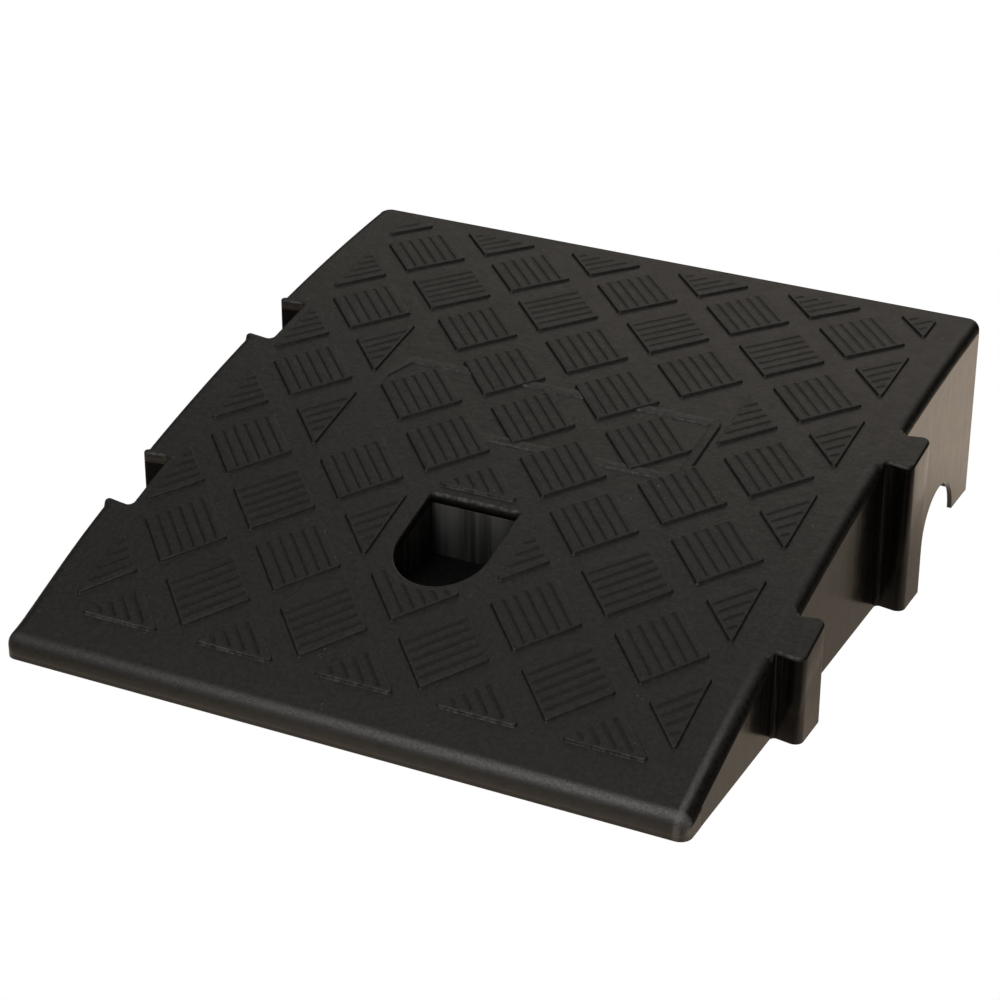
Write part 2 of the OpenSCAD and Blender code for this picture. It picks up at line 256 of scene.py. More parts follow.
# Dull faces, by the parts of their normal: the right edge of the deck and the front flanks of the lugs
DULL_RIGHT = (0.35, 0.85)
DULL_RIGHT_SHINE = 0.06
DULL_FLANK = (-0.4, -0.9)
DULL_FLANK_START = (0, 1 * MM)
DULL_FLANK_SHINE = 0.04

# Floor: white to the camera with painted shade under the anchor hole, and a warm glow to the part, by place
# on the floor
FLOOR_SIZE = 15
FLOOR_COLOUR = (1, 1, 1, 1)
HOLE_SHADE = 1.5
GLOW_COLOUR = (1, 0.83, 0.66, 1)
GLOW_RIGHT = (0.1, 0.2)
GLOW_REAR = (0.1, 0.28)
GLOW_REAR_LEVELS = (1.0, 3.2)
GLOW_NEAR = (0.32, 0.5)
GLOW_NEAR_LEVELS = (0.33, 0.02)
GLOW_FRONT = (-0.13, -0.03)
GLOW_FRONT_LEVELS = (1.35, 1.0)

# Sky, by direction: brightest overhead, darker at the left and behind the right side
SKY_COLOUR = (1, 0.97, 0.92, 1)
SKY_RISE = (0.0, 0.7)
SKY_RISE_LEVELS = (0.02, 0.255)
SKY_LEFT = (-0.85, -0.5)
SKY_LEFT_LEVELS = (0.3, 1.0)
SKY_RIGHT_WAY = (1, 0.4, 0)
SKY_RIGHT = (0.25, 0.75)
SKY_RIGHT_LEVELS = (1.0, 0.35)

# Lights and camera
LIGHT_TARGET = (0, 0, 0.05)
CAMERA_PLACE = (0.6563, -1.3584, 0.8201)
CAMERA_TILT = (62.849, -0.195, 26.506)
CAMERA_LENS = 103.13
CAMERA_SENSOR = 36

# Sockets of a Mix node: its two numbers, its two colours and the mixed colour
MIX_FIRST, MIX_SECOND = 2, 3
MIX_FIRST_COLOUR, MIX_SECOND_COLOUR = 6, 7
MIX_COLOUR_OUT = 2


for stray in list(bpy.data.objects):
    bpy.data.objects.remove(stray)

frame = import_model()
nodes = frame["nodes"]

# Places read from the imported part
x_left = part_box("deck")[0].x
x_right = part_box("deck")[1].x
x_middle = (x_left + x_right) / 2
y_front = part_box("front_toe")[0].y
y_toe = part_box("front_toe")[1].y
y_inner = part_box("back_wall")[0].y
y_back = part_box("back_wall")[1].y
y_round = min(y_inner, y_back - BACK_CORNER)
lug_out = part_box("front_lug")[1].x - x_right
lug_middles = [(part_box(name)[0].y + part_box(name)[1].y) / 2 for name in ("front_lug", "rear_lug")]
socket_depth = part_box("front_socket")[1].x - x_left - SOCKET_WALL
well_low, well_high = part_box("well_floor")
well_radius = (well_high.x - well_low.x) / 2
well_centre = Vector((well_low.x + well_radius, well_low.y + well_radius))
well_back = well_high.y
well_front_reach = well_radius + WELL_FRONT_STRIP
tread_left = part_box("tread_row_2")[0].x
tread_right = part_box("tread_row_2")[1].x
tread_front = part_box("tread_row_1")[0].y
tread_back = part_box(f"tread_row_{TREAD_ROWS}")[1].y
pad_pitch = (tread_right - tread_left + 2 * EDGE_CUT) / PAD_COLUMNS
row_pitch = (tread_back - tread_front + 2 * EDGE_CUT) / (TREAD_ROWS - 1)

# Circle of the deck, through the tops of the front and back faces
rise = BACK_HEIGHT - TOE_HEIGHT
run = y_back - y_front
chord = math.hypot(run, rise)
deck_radius = (chord * chord / 4 + CROWN * CROWN) / (2 * CROWN)
axis_y = (y_front + y_back) / 2 + (deck_radius - CROWN) * rise / chord
axis_z = (TOE_HEIGHT + BACK_HEIGHT) / 2 - (deck_radius - CROWN) * run / chord


def deck_z(y):
    """Height of the deck's top."""
    return axis_z + math.sqrt(deck_radius * deck_radius - (y - axis_y) ** 2)


def on_deck(point, lift=0.0):
    """A point in plan, lifted above the deck's top by this much."""
    return Vector((point[0], point[1], deck_z(point[1]) + lift))


def smooth_step(share):
    """0 to 1 with flat ends."""
    share = min(max(share, 0.0), 1.0)
    return share * share * (3 - 2 * share)


def heading(direction):
    """Angle of a direction in plan, in degrees."""
    return math.degrees(math.atan2(direction.y, direction.x))


# Plane outlines, as lists of points in plan

def arc(centre, radius, start, end, steps=ARC_STEPS):
    """Points of an arc between two angles in degrees, both ends included."""
    angles = [math.radians(start + (end - start) * i / steps) for i in range(steps + 1)]
    return [Vector((centre[0] + radius * math.cos(a), centre[1] + radius * math.sin(a))) for a in angles]


def straight(start, end):
    """Points between two places, both ends left out."""
    start, end = Vector(start), Vector(end)
    count = max(1, round((end - start).length / OUTLINE_STEP))
    return [start.lerp(end, i / count) for i in range(1, count)]


def chain(*stretches):
    """One closed outline out of stretches, joined by straight runs of points."""
    points = []
    for i, stretch in enumerate(stretches):
        points += stretch
        points += straight(stretch[-1], stretches[(i + 1) % len(stretches)][0])
    return points


def lug_flank(neck, out, head_round):
    """One flank of a lug, from the wall at X = 0 round the neck and the head to the outer face."""
    neck_centre = Vector((LUG_NECK_ROUND, neck / 2 + LUG_NECK_ROUND))
    head_centre = Vector((out - head_round, (neck + LUG_FLARE) / 2 - head_round))
    apart = head_centre - neck_centre
    turn = heading(apart) - math.degrees(math.acos((LUG_NECK_ROUND + head_round) / apart.length))
    shares = [1 - i / RUN_OUT_STEPS for i in range(RUN_OUT_STEPS)]
    on_wall = [neck_centre + Vector((-LUG_NECK_ROUND, ROUND_RUN_OUT * share)) for share in shares]
    neck_arc = arc(neck_centre, LUG_NECK_ROUND, 180, 360 + turn)
    return on_wall + neck_arc + arc(head_centre, head_round, 180 + turn, 0)


def lug_outline(wall_x, y, neck, out, head_round):
    """A lug or a socket in plan, from its front flank to its rear one."""
    flank = lug_flank(neck, out, head_round)
    front = [Vector((wall_x + p.x, y - p.y)) for p in flank]
    rear = [Vector((wall_x + p.x, y + p.y)) for p in reversed(flank)]
    return front + straight(front[-1], rear[0]) + rear


def deck_outline():
    """The whole part in plan, anticlockwise from the front left corner."""
    lugs = [lug_outline(x_right, y, LUG_NECK, lug_out, LUG_HEAD_ROUND) for y in lug_middles]
    sockets = [lug_outline(x_left, y, SOCKET_MOUTH, socket_depth, SOCKET_HEAD_ROUND) for y in lug_middles]
    return chain(
        arc((x_left + FRONT_CORNER, y_front + FRONT_CORNER), FRONT_CORNER, 180, 270),
        arc((x_right - FRONT_CORNER, y_front + FRONT_CORNER), FRONT_CORNER, 270, 360),
        [Vector((x_right, y_toe))],
        *lugs,
        arc((x_right - BACK_CORNER, y_back - BACK_CORNER), BACK_CORNER, 0, 90),
        arc((x_left + BACK_CORNER, y_back - BACK_CORNER), BACK_CORNER, 90, 180),
        *[list(reversed(socket)) for socket in reversed(sockets)],
        [Vector((x_left, y_toe))],
    )


def well_outline():
    """The well in plan, anticlockwise: round in front, straight behind."""
    right, left = well_centre.x + well_radius, well_centre.x - well_radius
    inset = WELL_BACK_CORNER
    return chain(
        arc(well_centre, well_radius, 180, 360, WELL_ARC_STEPS),
        arc((right - inset, well_back - inset), inset, 0, 90),
        arc((left + inset, well_back - inset), inset, 90, 180),
    )


def mitres(outline):
    """For each point of an anticlockwise outline, the step that moves its edges inwards by one unit."""
    steps = []
    for i, point in enumerate(outline):
        before = (point - outline[i - 1]).normalized()
        after = (outline[(i + 1) % len(outline)] - point).normalized()
        first, second = Vector((-before.y, before.x)), Vector((-after.y, after.x))
        steps.append((first + second) / (1 + first.dot(second)))
    return steps


def inside(outline, point):
    """True if the point lies inside the outline."""
    hit = False
    for i, a in enumerate(outline):
        b = outline[i - 1]
        if (a.y > point.y) != (b.y > point.y):
            if point.x < (b.x - a.x) * (point.y - a.y) / (b.y - a.y) + a.x:
                hit = not hit
    return hit


def triangles(outer, holes, extra):
    """Points and triangles that fill an outline round its holes, through the extra points."""
    points, edges = [], []
    for loop in [outer, *holes]:
        first = len(points)
        points += loop
        edges += [(first + i, first + (i + 1) % len(loop)) for i in range(len(loop))]
    found = delaunay_2d_cdt(points + extra, edges, [], WHOLE_HULL, SAME_POINT)
    corners = found[0]
    kept = []
    for face in found[2]:
        a, b, c = [corners[i] for i in face]
        middle = (a + b + c) / 3
        longest = max((b - a).length_squared, (c - b).length_squared, (a - c).length_squared)
        if (b - a).cross(c - a) < SLIVER * longest:
            continue
        if inside(outer, middle) and not any(inside(hole, middle) for hole in holes):
            kept.append(face)
    return corners, kept


# Meshes

def weave(mesh, rows, closed=True, material=0):
    """Quads between rows of points; anticlockwise rings from below upwards face outwards."""
    made = [[mesh.verts.new(p) for p in row] for row in rows]
    for low, high in zip(made, made[1:]):
        for i in range(0 if closed else 1, len(low)):
            face = mesh.faces.new((low[i - 1], low[i], high[i], high[i - 1]))
            face.material_index = material
    return made


def fill(mesh, outer, holes, extra, place, up=True):
    """Fills an outline round its holes, facing up or down; place puts a point of the plan in space."""
    corners, faces = triangles(outer, holes, extra)
    made = [mesh.verts.new(place(c)) for c in corners]
    for face in faces:
        order = face if up else list(reversed(face))
        mesh.faces.new([made[i] for i in order])


def new_piece(name, mesh, materials):
    """Welds the mesh, shades it smooth and puts it into the scene as a piece of the part."""
    bmesh.ops.remove_doubles(mesh, verts=mesh.verts, dist=WELD)
    loose = [v for v in mesh.verts if not v.link_faces]
    bmesh.ops.delete(mesh, geom=loose, context="VERTS")
    for face in mesh.faces:
        face.smooth = True
    data = bpy.data.meshes.new(name)
    mesh.to_mesh(data)
    mesh.free()
    for material in materials:
        data.materials.append(material)
    piece = bpy.data.objects.new(name, data)
    bpy.context.scene.collection.objects.link(piece)
    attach(piece, "root")
    return piece


# Shell: the deck's plate with its rounded edges, the toe, the back wall and the lugs

def edge_round(point):
    """Radius of the upper edge at this point of the outline."""
    if point.y < y_toe:
        share = smooth_step((point.y - y_front) / (y_toe - y_front))
        return FRONT_ROUND + (FRONT_SIDE_ROUND - FRONT_ROUND) * share
    if point.y > y_round:
        return BACK_ROUND
    neck = LUG_NECK if point.x > x_middle else SOCKET_MOUTH
    half = neck / 2 + LUG_NECK_ROUND
    away = min(abs(point.y - y) for y in lug_middles) - half
    front = 1 - smooth_step((point.y - y_toe) / FRONT_SIDE_LENGTH)
    side = SIDE_ROUND + (FRONT_SIDE_ROUND - SIDE_ROUND) * front
    return LUG_ROUND + (side - LUG_ROUND) * smooth_step(away / ROUND_RUN_OUT)


def well_edge_round(point):
    """Radius of the well's upper edge at this point of its outline."""
    away = well_back - WELL_BACK_CORNER - point.y
    return WELL_BACK_ROUND + (WELL_ROUND - WELL_BACK_ROUND) * smooth_step(away / WELL_RUN_OUT)


def rounded_rings(outline, radii, side):
    """Rings of a rounded edge from the outer face to the deck's top; side is 1 inwards, -1 outwards."""
    steps = mitres(outline)
    rings = []
    for i in range(ROUND_STEPS + 1):
        turn = math.radians(90 * (1 - i / ROUND_STEPS))
        ring = []
        for point, step, radius in zip(outline, steps, radii):
            place = point + side * radius * (1 - math.sin(turn)) * step
            ring.append(on_deck(place, -radius * (1 - math.cos(turn))))
        rings.append(ring)
    support = [p + side * (r + SUPPORT_RING) * s for p, s, r in zip(outline, steps, radii)]
    rings.append([on_deck(p) for p in support])
    return rings, support


def grid_points(keep_inside, keep_out):
    """Points of an even grid on the deck, half a step or more away from the outlines."""
    points = []
    count_x = round((x_right + lug_out - x_left) / GRID_STEP)
    count_y = round((y_back - y_front) / GRID_STEP)
    borders = keep_inside + keep_out
    for i in range(count_x):
        for j in range(count_y):
            point = Vector((x_left + (i + 0.5) * GRID_STEP, y_front + (j + 0.5) * GRID_STEP))
            if not inside(keep_inside, point) or inside(keep_out, point):
                continue
            if min((point - b).length_squared for b in borders) > (GRID_STEP / 2) ** 2:
                points.append(point)
    return points


def underside(point):
    """Place of a point of the plan under the deck's plate."""
    return on_deck(point, -max(DECK_THICKNESS, edge_round(point)))


def is_solid(first, second):
    """True if the stretch of outline between two points belongs to the toe, the back wall or a lug."""
    if max(first.y, second.y) <= y_toe + SUPPORT_RING or min(first.y, second.y) >= y_round - SUPPORT_RING:
        return True
    return max(first.x, second.x) > x_right + TOLERANCE


def split_outline(outline):
    """The plate's lower border, straight past the solid members, and the outer stretch of each member."""
    count = len(outline)
    solid = [is_solid(outline[i], outline[(i + 1) % count]) for i in range(count)]
    first = solid.index(False)
    border, members = [], []
    for i in [(first + k) % count for k in range(count)]:
        if not solid[i]:
            border.append(outline[i])
            continue
        if not solid[i - 1]:
            members.append([outline[i]])
        members[-1].append(outline[(i + 1) % count])
        if not solid[(i + 1) % count]:
            border += [members[-1][0], *straight(members[-1][0], members[-1][-1])]
    return border, members


def build_shell(deck_material, wall_material):
    """The moulded shell as one closed piece, from one outline."""
    mesh = bmesh.new()
    outline = deck_outline()
    rings, deck_edge = rounded_rings(outline, [edge_round(p) for p in outline], 1)
    weave(mesh, [[underside(p) for p in outline], rings[0]], material=SECOND_MATERIAL)
    weave(mesh, rings)

    well = well_outline()
    well_rings, well_edge = rounded_rings(well, [well_edge_round(p) for p in well], -1)
    well_under = [underside(p) for p in well]
    weave(mesh, [list(reversed(ring)) for ring in [well_under, *well_rings]])

    border, members = split_outline(outline)
    fill(mesh, deck_edge, [well_edge], grid_points(deck_edge, well_edge), on_deck)
    fill(mesh, border, [well], grid_points(border, well), underside, up=False)

    # Toe, back wall and lugs from the plate to the ground
    for outer in members:
        inner = [outer[-1], *straight(outer[-1], outer[0]), outer[0]]
        for stretch in (outer, inner):
            rows = [[Vector((p.x, p.y, 0)) for p in stretch], [underside(p) for p in stretch]]
            weave(mesh, rows, closed=False, material=SECOND_MATERIAL)
        foot = [mesh.verts.new((p.x, p.y, 0)) for p in reversed(outer + inner[1:-1])]
        mesh.faces.new(foot).material_index = SECOND_MATERIAL

    shell = new_piece("moulded_shell", mesh, [deck_material, wall_material])
    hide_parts("deck", "front_toe", "back_wall", "front_lug", "rear_lug")


# Tread

def clip(polygon, place, keep):
    """The part of a convex polygon on the side of the place that the direction points to."""
    place, keep = Vector(place), Vector(keep)
    kept = []
    for i, b in enumerate(polygon):
        a = polygon[i - 1]
        depth_a, depth_b = (a - place).dot(keep), (b - place).dot(keep)
        if (depth_a >= 0) != (depth_b >= 0):
            kept.append(a.lerp(b, depth_a / (depth_a - depth_b)))
        if depth_b >= 0:
            kept.append(b)
    return [p for i, p in enumerate(kept) if (p - kept[i - 1]).length > TOLERANCE]


def within_circle(place, along, centre, radius):
    """Start and end, measured along a line through the place, of its stretch in a circle, if it has one."""
    away = place - centre
    middle = -away.dot(along)
    square = radius * radius - away.length_squared + middle * middle
    if square <= 0:
        return None
    return middle - math.sqrt(square), middle + math.sqrt(square)


def within_polygon(place, along, polygon):
    """Start and end, measured along a line through the place, of its stretch in a pad, off the border."""
    start, end = -PAD_DIAGONAL, PAD_DIAGONAL
    for i, b in enumerate(polygon):
        a = polygon[i - 1]
        direction = (b - a).normalized()
        inward = Vector((-direction.y, direction.x))
        depth, slope = (place - a).dot(inward) - GROOVE_MARGIN, along.dot(inward)
        if slope >= PARALLEL:
            start = max(start, -depth / slope)
        elif slope <= -PARALLEL:
            end = min(end, -depth / slope)
        elif depth < 0:
            return 0, 0
    return start, end


def bite(polygon, centre, radius):
    """An anticlockwise polygon with the corner that lies in a circle taken out along the circle."""
    points = []
    for i, corner in enumerate(polygon):
        if (corner - centre).length >= radius:
            points.append(corner)
            continue
        ends = []
        for other in (polygon[i - 1], polygon[(i + 1) % len(polygon)]):
            along = (corner - other).normalized()
            ends.append(other + along * within_circle(other, along, centre, radius)[0])
        points += arc(centre, radius, heading(ends[0] - centre), heading(ends[1] - centre))
    return points


def round_corners(polygon, radius):
    """An anticlockwise polygon with its outside corners rounded."""
    points = []
    for i, corner in enumerate(polygon):
        before = (corner - polygon[i - 1]).normalized()
        after = (polygon[(i + 1) % len(polygon)] - corner).normalized()
        turn = math.atan2(before.cross(after), before.dot(after))
        if turn < math.radians(ROUNDED_TURN):
            points.append(corner)
            continue
        length = radius * math.tan(turn / 2)
        start = corner - before * length
        centre = start + Vector((-before.y, before.x)) * radius
        first = heading(start - centre)
        points += arc(centre, radius, first, first + math.degrees(turn), CORNER_STEPS)
    return points


def row_y(row):
    """Middle of a row of pads."""
    return tread_front - EDGE_CUT + (row - 1) * row_pitch


def column_x(column):
    """Middle of a column of pads, counted from the middle line."""
    return x_middle + column * pad_pitch


def row_columns(row):
    """Odd rows have a pad on the middle line, even rows a half pad at both sides."""
    last = (PAD_COLUMNS - 1) / 2 if row % 2 == 1 else PAD_COLUMNS / 2
    return [-last + i for i in range(round(2 * last) + 1)]


def pad_outline(row, column):
    """One pad in plan: cornerwise, cut at the edges of the tread and beside the well and the panel."""
    x, y, half = column_x(column), row_y(row), PAD_DIAGONAL / 2
    side = math.copysign(1, column)
    pad = [Vector((x, y - half)), Vector((x + half, y)), Vector((x, y + half)), Vector((x - half, y))]
    pad = clip(pad, (tread_left, 0), (1, 0))
    pad = clip(pad, (tread_right, 0), (-1, 0))
    pad = clip(pad, (0, tread_front), (0, 1))
    pad = clip(pad, (0, tread_back), (0, -1))
    if (row, column) in PANEL_HALVES:
        pad = clip(pad, (x, y), (side, 0))
    if (row, column) in WELL_HALVES:
        pad = clip(pad, (well_centre.x + side * (well_radius + WELL_SIDE_STRIP), y), (side, 0))
    if (row, column) == WELL_BACK_HALF:
        pad = clip(pad, (x, well_back + WELL_BACK_STRIP), (0, 1))
    return pad


def outside_well(place, along, start, end):
    """The longer stretch of a groove that the well cuts, kept off the pad's border there."""
    cut = within_circle(place, along, well_centre, well_front_reach + GROOVE_MARGIN)
    if not cut:
        return start, end
    before = (start, min(end, cut[0]))
    after = (max(start, cut[1]), end)
    return before if before[1] - before[0] >= after[1] - after[0] else after


def groove_lines(row, column, polygon):
    """Middle lines of a pad's grooves, kept off its border."""
    falls = row % 2 == 1 or (row, column) in PANEL_PADS
    along = Vector((1, -1 if falls else 1)).normalized()
    across = Vector((-along.y, along.x))
    middle = Vector((column_x(column), row_y(row)))
    lines = []
    for i in range(GROOVES):
        place = middle + across * GROOVE_PITCH * (i - (GROOVES - 1) / 2)
        start, end = within_polygon(place, along, polygon)
        if (row, column) == WELL_FRONT_PAD:
            start, end = outside_well(place, along, start, end)
        if end - start > SHORTEST_GROOVE:
            lines.append((place + along * start, place + along * end))
    return lines


def groove_rings(start, end):
    """Rings of one groove in the top of a pad, down to its bottom."""
    angle = heading(end - start)
    rings = []
    for i in range(GROOVE_STEPS):
        share = 1 - i / GROOVE_STEPS
        radius = share * GROOVE_WIDTH / 2
        ring = arc(end, radius, angle - 90, angle + 90, GROOVE_END_STEPS)
        ring += arc(start, radius, angle + 90, angle + 270, GROOVE_END_STEPS)
        height = PAD_HEIGHT - GROOVE_DEPTH * smooth_step(1 - share)
        rings.append([on_deck(p, height) for p in ring])
    return rings


def raised_side(height):
    """Steps inwards and upwards of a raised part's side: rounded foot, draft, rounded upper edge."""
    profile = [(-PAD_FOOT_ROUND, -PAD_SUNK)]
    for i in range(1, PAD_FOOT_STEPS + 1):
        turn = math.radians(90 * i / PAD_FOOT_STEPS)
        profile.append((-PAD_FOOT_ROUND * (1 - math.sin(turn)), PAD_FOOT_ROUND * (1 - math.cos(turn))))
    for i in range(PAD_TOP_STEPS + 1):
        turn = math.radians(90 * i / PAD_TOP_STEPS)
        inwards = PAD_DRAFT + PAD_TOP_ROUND * (1 - math.cos(turn))
        profile.append((inwards, height - PAD_TOP_ROUND * (1 - math.sin(turn))))
    return profile


def add_pad(mesh, row, column):
    """One closed pad with its sides and its grooves."""
    polygon = pad_outline(row, column)
    corners = polygon
    if (row, column) == WELL_FRONT_PAD:
        corners = bite(polygon, well_centre, well_front_reach)
    outline = round_corners(corners, PAD_CORNER)
    steps = mitres(outline)
    profile = raised_side(PAD_HEIGHT)
    rings = [[on_deck(p + offset * s, lift) for p, s in zip(outline, steps)] for offset, lift in profile]
    foot = weave(mesh, rings)[0]
    mesh.faces.new(list(reversed(foot)))

    top_edge = [p + profile[-1][0] * s for p, s in zip(outline, steps)]
    holes = []
    for start, end in groove_lines(row, column, polygon):
        groove = groove_rings(start, end)
        holes.append([p.xy for p in groove[0]])
        # The groove's faces take the second, darker plastic: painted shade in the groove
        bottom = weave(mesh, groove, material=SECOND_MATERIAL)[-1]
        mesh.faces.new(bottom).material_index = SECOND_MATERIAL
    fill(mesh, top_edge, holes, [], lambda p: on_deck(p, PAD_HEIGHT))


def build_tread(material, groove_shade_material):
    """The rows of pads, one piece for each row."""
    for row in range(1, TREAD_ROWS + 1):
        mesh = bmesh.new()
        for column in row_columns(row):
            add_pad(mesh, row, column)
        piece = new_piece(f"tread_pads_{row}", mesh, [material, groove_shade_material])
        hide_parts(f"tread_row_{row}")


def bead_outline(low, high):
    """Outer line of the bead in plan: a rectangle without its rear left corner."""
    corners = [
        Vector((low.x, low.y)),
        Vector((high.x, low.y)),
        Vector((high.x, high.y)),
        Vector((low.x + BEAD_CUT_X, high.y)),
        Vector((low.x, high.y - BEAD_CUT_Y)),
    ]
    return chain(*[[p] for p in round_corners(corners, BEAD_CORNER)])


def build_panel_bead(material, shaded_end_material):
    """The low bead round the bare panel, which runs on under the pads; its pale plastic is a painted
    highlight, its right end's darker plastic painted shade.
    """
    low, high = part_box("panel_rim")
    outline = bead_outline(low, high)
    steps = mitres(outline)
    ways = [p.x - low.x + BEAD_FADE_SLANT * (p.y - low.y) for p in outline]
    fades = [smooth_step((way - BEAD_START) / BEAD_FADE) for way in ways]
    rises = [1 + BEAD_END_RISE * smooth_step(1 - (high.x - p.x) / BEAD_END_LENGTH) for p in outline]
    side = raised_side(BEAD_HEIGHT)
    rings = []
    for offset, lift in side + [(BEAD_WIDTH - offset, lift) for offset, lift in reversed(side)]:
        lifts = [lift * fade * rise - BEAD_SUNK * (1 - fade) for fade, rise in zip(fades, rises)]
        rings.append([on_deck(p + offset * s, height) for p, s, height in zip(outline, steps, lifts)])
    mesh = bmesh.new()
    weave(mesh, rings + rings[:1])
    # The faces at the right end take the darker second plastic, as painted shade on that end
    for face in mesh.faces:
        if face.calc_center_median().x > high.x - BEAD_WIDTH:
            face.material_index = SECOND_MATERIAL
    bead = new_piece("panel_bead", mesh, [material, shaded_end_material])
    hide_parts("panel_rim")


# Shader nodes

def add_node(tree, kind, inputs=None, **settings):
    """A shader node with the given settings; inputs are values or sockets to link from."""
    node = tree.nodes.new(kind)
    for key, value in settings.items():
        setattr(node, key, value)
    for key, value in (inputs or {}).items():
        if isinstance(value, bpy.types.NodeSocket):
            tree.links.new(value, node.inputs[key])
        else:
            node.inputs[key].default_value = value
    return node


def noise(tree, place, pattern):
    """The pattern's noise, smooth and round 0.5."""
    values = {"Vector": place, "Scale": pattern.scale, "Detail": pattern.detail}
    values["Roughness"] = pattern.falloff
    return add_node(tree, "ShaderNodeTexNoise", values).outputs["Fac"]


def ramp(tree, value, low, high, to_low=0.0, to_high=1.0):
    """Eases a value from one range to another."""
    values = {"Value": value, "From Min": low, "From Max": high, "To Min": to_low, "To Max": to_high}
    return add_node(tree, "ShaderNodeMapRange", values, interpolation_type="SMOOTHSTEP").outputs["Result"]


def eased_noise(tree, place, pattern, to_low=0.0, to_high=1.0):
    """The pattern's noise, eased from its range to another."""
    return ramp(tree, noise(tree, place, pattern), pattern.low, pattern.high, to_low, to_high)


def times(tree, first, second):
    """Product of two values."""
    return add_node(tree, "ShaderNodeMath", {0: first, 1: second}, operation="MULTIPLY").outputs["Value"]


def blend(tree, share, first, second):
    """Colour between two colours."""
    node = add_node(tree, "ShaderNodeMix", {"Factor": share}, data_type="RGBA")
    for key, value in ((MIX_FIRST_COLOUR, first), (MIX_SECOND_COLOUR, second)):
        if isinstance(value, bpy.types.NodeSocket):
            tree.links.new(value, node.inputs[key])
        else:
            node.inputs[key].default_value = (*value, 1)
    return node.outputs[MIX_COLOUR_OUT]


# Materials

